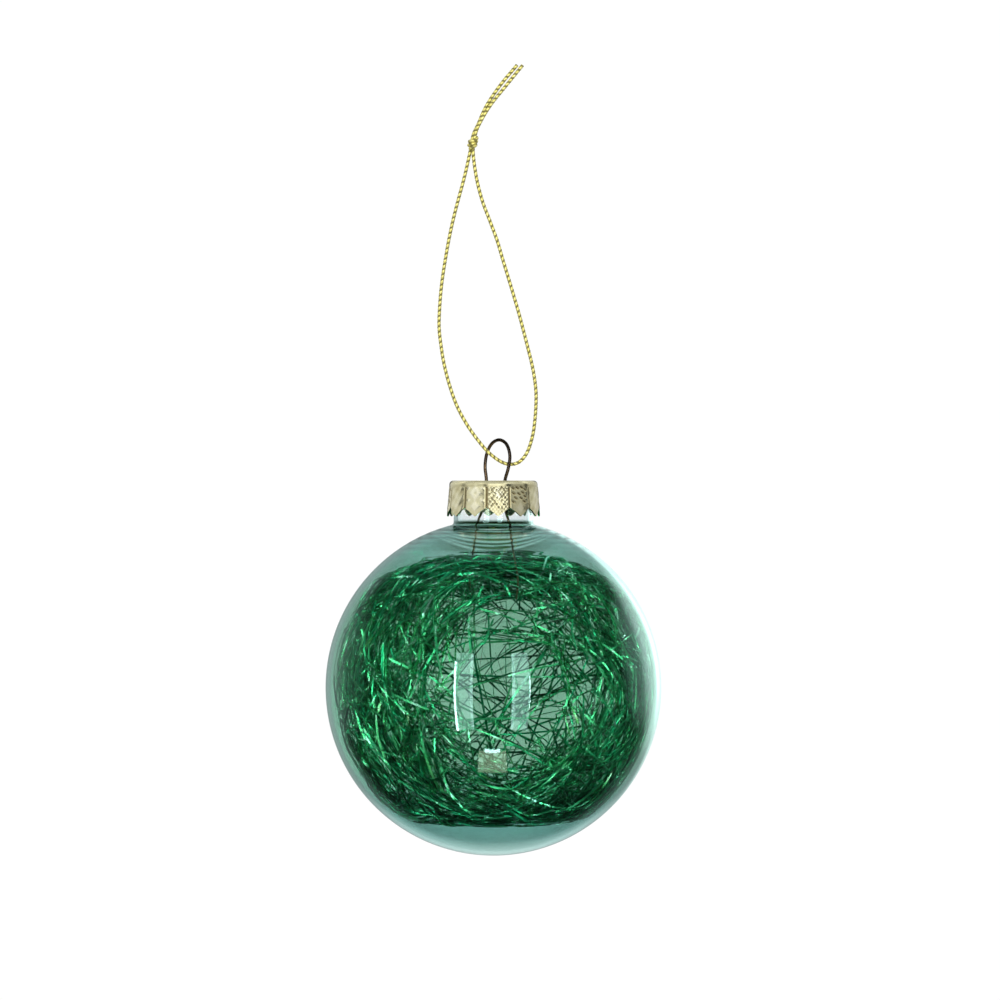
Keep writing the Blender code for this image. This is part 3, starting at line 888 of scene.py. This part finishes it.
def wreath_starts(rng, clumps, each, front, scatter):
    """Starts and directions of the wreath's strands, in clumps that lie nearly side by side. front is the
    share of clumps at the front, and scatter is how far they turn from running round."""
    turn = rng.uniform(0.0, 2 * math.pi, clumps)
    ring = np.sqrt(rng.uniform(WREATH_FROM**2, WREATH_TO**2, clumps)) * MM
    x = HOLLOW_AT[0] + ring * np.cos(turn)
    z = np.clip(HOLLOW_AT[1] + ring * np.sin(turn), TINSEL_BOTTOM, TINSEL_TOP)
    room = np.sqrt(np.maximum(TINSEL_R**2 - x**2 - z**2, (2 * MM) ** 2))
    depth = rng.uniform(-1.0, 1.0, clumps)
    near = rng.uniform(0.0, 1.0, clumps) < front
    depth[near] = -1.0 + np.abs(rng.normal(0.0, 0.12, near.sum()))
    starts = np.stack([x, room * depth, z], axis=1)
    looser = 1.0 + 1.3 * np.clip(-x / (20 * MM), 0.0, 1.0)[:, None]
    headings = unit(round_axis(starts) + rng.normal(0.0, scatter, starts.shape) * looser)
    starts = np.repeat(starts, each, axis=0)
    starts = starts + rng.normal(0.0, CLUMP_SPREAD, starts.shape) * MM
    headings = unit(np.repeat(headings, each, axis=0) + rng.normal(0.0, 0.18, starts.shape))
    size = np.linalg.norm(starts, axis=1, keepdims=True)
    return starts * np.minimum(1.0, TINSEL_R / size), headings


def ribbon_mesh(name, paths, widths, rolls, twists, tones):
    """Thin closed strips along paths of shape (count, points, 3), each rolled and slowly twisted."""
    count, points = paths.shape[:2]
    _, normals, binormals = carried_frames(paths)
    roll = (rolls[:, None] + twists[:, None] * np.arange(points))[..., None]
    across = normals * np.cos(roll) + binormals * np.sin(roll)
    face = binormals * np.cos(roll) - normals * np.sin(roll)
    taper = np.ones(points)
    taper[[0, -1]] = TIP_WIDTH
    wide = across * (widths[:, None] * taper)[..., None] / 2
    thick = face * FILM_THICKNESS / 2
    corners = np.stack([wide + thick, -wide + thick, -wide - thick, wide - thick], axis=2)
    placed = (paths[:, :, None] + corners).reshape(-1, 3) + np.array(BALL_CENTRE)
    base = (np.arange(count) * points * 4)[:, None, None, None]
    ring = (np.arange(points - 1) * 4)[:, None, None]
    sides = np.array([[j, j + 4, (j + 1) % 4 + 4, (j + 1) % 4] for j in range(4)])
    quads = (base + ring + sides).reshape(-1, 4)
    ends = base.reshape(-1, 1) + np.arange(4)
    tips = ends[:, ::-1] + (points - 1) * 4
    faces = np.concatenate([quads, ends, tips]).tolist()
    mesh = mesh_of(name, placed, faces, smooth=False)
    add_attribute(mesh, "tone", np.repeat(tones.ravel(), 4))
    return mesh


def before_leg(paths):
    """Which strands pass in front of the long leg of the hanger."""
    hides = (np.abs(paths[..., 0] - LEG_X) < LEG_HALF) & (paths[..., 2] > LEG_LOW)
    return (hides & (paths[..., 1] < LEG_FRONT)).any(axis=1)


def add_strands(name, rng, paths, widths, material, painted_lit_share, twist=0.12):
    """The fifth argument is the share of strands painted in a lit tone, the rest painted in a shaded tone,
    and twist is in radians a point.
    """
    keep = clear_of_hanger(paths) & ~before_leg(paths)
    paths, widths = paths[keep], widths[keep]
    count = len(paths)
    rolls = rng.uniform(0.0, math.pi, count)
    twists = rng.normal(0.0, twist, count)
    # Lit and shaded looks painted strand by strand, each tone also differing at random.
    light = rng.uniform(0.0, 1.0, count) < painted_lit_share
    tones = np.where(light, rng.uniform(*PAINTED_LIT_TONES, count), rng.uniform(*PAINTED_SHADED_TONES, count))
    tones = np.repeat(tones[:, None], paths.shape[1], axis=1)
    # Painted glints: some points get the top tone, a near-white colour.
    tones[rng.uniform(0.0, 1.0, tones.shape) < PAINTED_GLINT_SHARE] = 1.0
    mesh = ribbon_mesh(name, paths, widths, rolls, twists, tones)
    new_piece(name, mesh, material, "ball")


def make_wreath(rng, material):
    """Most of the tinsel: strands that run round the hollow, and looser ones that cross them."""
    for number in range(1, 6):
        starts, headings = wreath_starts(rng, clumps=24, each=14, front=0.14, scatter=0.34)
        step = rng.uniform(1.0, 2.2, len(starts)) * MM
        hollows = (HOLLOW_R / MM + rng.normal(2.0, 3.0, len(starts))) * MM
        paths = grow(rng, starts, headings, 20, step, hollows, follow=0.03)
        widths = rng.uniform(0.18, 0.36, len(starts)) * MM
        add_strands(f"tinsel_wreath_{number}", rng, paths, widths, material, 0.3)
    for number in range(1, 4):
        starts, headings = wreath_starts(rng, clumps=110, each=3, front=0.6, scatter=0.7)
        step = rng.uniform(0.9, 2.1, len(starts)) * MM
        hollows = (HOLLOW_R / MM + rng.normal(-1.0, 3.5, len(starts))) * MM
        paths = grow(rng, starts, headings, 16, step, hollows, wobble=0.005)
        widths = rng.uniform(0.26, 0.54, len(starts)) * MM
        add_strands(f"tinsel_crossing_{number}", rng, paths, widths, material, 0.5)


def sphere_depth(x, z, reach=TINSEL_R):
    return np.sqrt(np.maximum(reach**2 - x**2 - z**2, 0.0))


def make_chords(rng, material):
    """Single strands across the hollow, most along the back of the ball."""
    count = 64
    first = rng.uniform(0.0, 2 * math.pi, count)
    second = first + rng.uniform(1.5, math.pi, count) * rng.choice([-1.0, 1.0], count)
    reach = rng.uniform(18.0, 26.0, count) * MM
    back = np.where(rng.uniform(0.0, 1.0, count) < 0.7, 1.0, -1.0)
    depth = back * rng.uniform(0.35, 0.98, count)
    shares = np.linspace(0.0, 1.0, 9)
    bow = rng.normal(0.0, 1.2, (count, 2)) * MM
    paths = []
    for i in range(count):
        turns = np.array([first[i], second[i]])
        a, b = np.array(HOLLOW_AT) + reach[i] * np.stack([np.cos(turns), np.sin(turns)], axis=1)
        line = a + (b - a) * shares[:, None]
        line = line + bow[i] * (4 * shares * (1 - shares))[:, None]
        y = depth[i] * sphere_depth(line[:, 0], line[:, 1])
        paths.append(np.stack([line[:, 0], y, line[:, 1]], axis=1))
    widths = rng.uniform(0.26, 0.55, count) * MM
    add_strands("tinsel_chords", rng, np.array(paths), widths, material, 0.5)


def make_bundles(rng, material):
    """Pinched bundles whose strands fan out."""
    paths, widths = [], []
    for centre, count, length in BUNDLES:
        ways = unit(rng.normal(0.0, 1.0, (count, 3)) * np.array([1.0, 0.45, 1.0]))
        for way in ways:
            reach = rng.uniform(0.6, 1.3) * length
            start = np.array(centre) + rng.normal(0.0, 0.5, 3)
            bend = rng.normal(0.0, 0.06, 3) * reach
            shares = np.linspace(0.0, 1.0, 8)[:, None]
            line = (start + way * reach * shares + bend * shares**2) * MM
            size = np.linalg.norm(line, axis=1, keepdims=True)
            line = line * np.minimum(1.0, TINSEL_R / size)
            line[:, 2] = np.maximum(line[:, 2], TINSEL_BOTTOM + 0.2 * MM)
            paths.append(line)
            widths.append(rng.uniform(0.28, 0.5) * MM)
    add_strands("tinsel_bundles", rng, np.array(paths), np.array(widths), material, 0.3)


def make_front(rng, material):
    """Wide strands that lie loose against the front of the glass, most on the left, nearly all painted in a
    lit tone.
    """
    count = 250
    x = rng.normal(-19.0, 8.0, count) * MM
    x[rng.uniform(0.0, 1.0, count) < 0.3] *= -1.0
    z = rng.uniform(-26.0, 26.0, count) * MM
    size = np.hypot(x, z)
    inside = np.minimum(1.0, 34 * MM / size)
    x, z = x * inside, z * inside
    starts = np.stack([x, -sphere_depth(x, z, TINSEL_R - 0.2 * MM), z], axis=1)
    lean = rng.normal(0.35, 0.65, count)
    headings = unit(np.stack([np.sin(lean), rng.normal(0.0, 0.1, count), -np.cos(lean)], axis=1))
    step = rng.uniform(0.8, 1.9, count) * MM
    paths = grow(rng, starts, headings, 12, step, np.full(count, 13 * MM))
    widths = rng.uniform(0.34, 0.6, count) * MM
    add_strands("tinsel_front", rng, paths, widths, material, 0.9, 0.03)


def make_back(rng, material):
    """Strands behind the top of the hollow, as the hanger's legs leave no room for any nearer the front."""
    count = 170
    x = rng.uniform(-15.0, 19.0, count) * MM
    z = rng.uniform(21.0, 31.5, count) * MM
    starts = np.stack([x, rng.uniform(0.5, 0.97, count) * sphere_depth(x, z), z], axis=1)
    lean = rng.normal(0.0, 0.35, count)
    headings = unit(np.stack([np.cos(lean), rng.normal(0.0, 0.15, count), np.sin(lean)], axis=1))
    step = rng.uniform(0.8, 1.8, count) * MM
    paths = grow(rng, starts, headings, 14, step, np.full(count, 20.8 * MM), follow=0.03)
    widths = rng.uniform(0.22, 0.42, count) * MM
    add_strands("tinsel_back", rng, paths, widths, material, 0.3)


def make_tinsel():
    rng = np.random.default_rng(SEED)
    material = film_material("green_film_strands", toned=True)
    for make in (make_wreath, make_chords, make_bundles, make_front, make_back):
        make(rng, material)
    strips = film_material("green_film_strips", toned=False)
    for name, node in frame["nodes"].items():
        if name.startswith("tinsel_strip"):
            node.data.materials.clear()
            node.data.materials.append(strips)


# ---- studio

def direction(azimuth, elevation):
    a, e = math.radians(azimuth), math.radians(elevation)
    return Vector((math.sin(a) * math.cos(e), -math.cos(a) * math.cos(e), math.sin(e)))


def soft_light(name, azimuth, elevation, width, height, radiance, colour=WHITE, distance=0.9, only=None):
    """An area light that faces the ball. Sizes are in metres, and its radiance is as a surface's."""
    data = bpy.data.lights.new(name, "AREA")
    data.color = colour
    data.shape = "RECTANGLE"
    data.size = width
    data.size_y = height
    data.energy = radiance * math.pi * width * height
    light = new_object(name, data)
    light.location = BALL_CENTRE + direction(azimuth, elevation) * distance
    light.rotation_euler = (BALL_CENTRE - light.location).to_track_quat("-Z", "Y").to_euler()
    light.visible_camera = False
    if only:
        light.light_linking.receiver_collection = only


def make_lights():
    """Each row has the values that soft_light takes, in its order."""
    glossy = receivers("glossy_receivers", ("glass_ball", "hanger_spring"))
    for name, *values in (
        ("softbox_left", -20.2, -1.5, 0.20, 0.86, 3.1),
        ("softbox_right", 18.4, -1.5, 0.19, 0.86, 3.5),
        ("edge_left", -14.8, -1.5, 0.03, 0.84, 3.4),
        ("edge_right", 13.6, -1.5, 0.03, 0.84, 3.4),
        ("tube_left", -25.9, -4.5, 0.021, 0.76, 36),
        ("tube_right", 24.5, -1.5, 0.009, 0.32, 34),
        ("glint_low", -1, -42, 0.15, 0.04, 20),
        ("warm_low", -1, -50, 0.27, 0.25, 4.2, (1, 0.80, 0.58)),
    ):
        soft_light(name, *values, only=glossy)
    inside = receivers("tinsel_receivers", ("tinsel",))
    for name, *values in (
        ("tinsel_front_high", 8, 42, 0.6, 0.6, 8),
        ("tinsel_front_low", -10, -50, 0.5, 0.5, 7),
        ("tinsel_left", -62, 12, 0.6, 0.6, 12),
        ("tinsel_right", 66, 5, 0.6, 0.6, 13),
        ("tinsel_back_left", -125, 8, 0.6, 0.6, 11),
        ("tinsel_back_right", 125, 0, 0.6, 0.6, 13),
        ("tinsel_top", 0, 85, 0.6, 0.6, 2),
    ):
        soft_light(name, *values, only=inside)
    for number, (azimuth, elevation) in enumerate(SPARKLES):
        soft_light(f"sparkle_{number}", azimuth, elevation, *SPARKLE_LIGHT, only=inside)
    metal = receivers("metal_receivers", ("crown_cap", "hanging_cord", "knot"))
    for name, *values in (
        ("metal_far_left", -122, 8, 1.2, 0.42, 0.78),
        ("metal_left", -52, 8, 0.95, 0.42, 0.88),
        ("metal_front", 8, 8, 0.8, 0.42, 1.6),
        ("metal_right", 68, 8, 0.7, 0.42, 0.5),
        ("metal_far_right", 132, 8, 1.1, 0.42, 0.66),
        ("metal_top", 0, 88, 1.5, 1.5, 0.6),
    ):
        soft_light(name, *values, only=metal)
    for azimuth in (-144, -72, 0, 72, 144):
        soft_light(f"metal_high_{azimuth}", azimuth, 36, 1.2, 0.5, 0.75, only=metal)
        soft_light(f"metal_low_{azimuth}", azimuth, -32, 1.2, 0.5, 0.6, only=metal)
    cords = receivers("cord_receivers", ("hanging_cord", "knot"))
    soft_light("cord_front", 0, 10, 1.6, 1, 0.9, only=cords)


def receivers(name, starts):
    """A collection, to keep a light to, of the objects whose names start one of those ways."""
    collection = bpy.data.collections.new(name)
    for obj in bpy.context.scene.objects:
        if obj.name.startswith(starts):
            collection.objects.link(obj)
    return collection


class StudioWorld(Nodes):
    """A white backdrop for what is seen straight through, and soft glows for everything else."""

    def __init__(self):
        world = bpy.data.worlds.new("studio")
        bpy.context.scene.world = world
        world.use_nodes = True
        world.cycles.sampling_method = "NONE"
        super().__init__(world.node_tree)
        self.tree.nodes.clear()
        self.way = self.add("ShaderNodeTexCoord").outputs["Generated"]

    def math(self, operation, a, b):
        node = self.add("ShaderNodeMath", operation=operation)
        self.feed(a, node.inputs[0])
        self.feed(b, node.inputs[1])
        return node.outputs[0]

    def glow(self, azimuth, elevation, width, radiance):
        """A soft glow that fades to nothing at width degrees from its middle."""
        dot = self.add("ShaderNodeVectorMath", operation="DOT_PRODUCT")
        dot.inputs[1].default_value = direction(azimuth, elevation)
        self.link(self.way, dot.inputs[0])
        edge = math.cos(math.radians(width))
        return self.spread(dot.outputs["Value"], edge, 1.0, 0.0, radiance, "SMOOTHERSTEP")

    def background(self, strength, colour):
        node = self.add("ShaderNodeBackground")
        self.feed(colour, node.inputs["Color"])
        self.feed(strength, node.inputs["Strength"])
        return node.outputs[0]


def make_world():
    studio = StudioWorld()
    total = 0.0
    for glow in GLOWS:
        total = studio.math("ADD", total, studio.glow(*glow))
    path = studio.add("ShaderNodeLightPath")
    total = studio.math("MULTIPLY", total, path.outputs["Is Singular Ray"])
    total = studio.math("ADD", total, DIM_STUDIO)
    turned = studio.math("SUBTRACT", path.outputs["Ray Depth"], path.outputs["Transmission Depth"])
    mix = studio.add("ShaderNodeMixShader")
    studio.link(studio.math("GREATER_THAN", turned, TURNS), mix.inputs["Fac"])
    studio.link(studio.background(BACKDROP, WHITE), mix.inputs[1])
    studio.link(studio.background(total, GLOW_COLOUR), mix.inputs[2])
    output = studio.add("ShaderNodeOutputWorld")
    studio.link(mix.outputs[0], output.inputs["Surface"])


def make_floor():
    n = Material("floor_paper")
    paper = n.ramp(n.noise(3.0, 2.0), [(0.3, (0.80, 0.81, 0.81)), (0.7, (0.84, 0.85, 0.85))])
    n.set(Base_Color=paper, Roughness=0.7)
    corners = ((-1, -1), (1, -1), (1, 1), (-1, 1))
    points = [(x * FLOOR_HALF, y * FLOOR_HALF, FLOOR_Z) for x, y in corners]
    mesh = mesh_of("floor", points, [(0, 1, 2, 3)], smooth=False)
    mesh.materials.append(n.material)
    floor = new_object("floor", mesh)
    floor.visible_glossy = False
    floor.visible_transmission = False
    only = receivers("floor_receivers", ("floor",))
    soft_light("floor_light", 0.0, 88.0, 6.0, 6.0, 1.95, distance=3.0, only=only)


make_camera()
make_cord(cord_material())
make_ball(glass_material())
make_hanger(wire_material())
make_cap(cap_material())
make_tinsel()
make_lights()
make_world()
make_floor()
bpy.context.scene.view_settings.view_transform = "Standard"
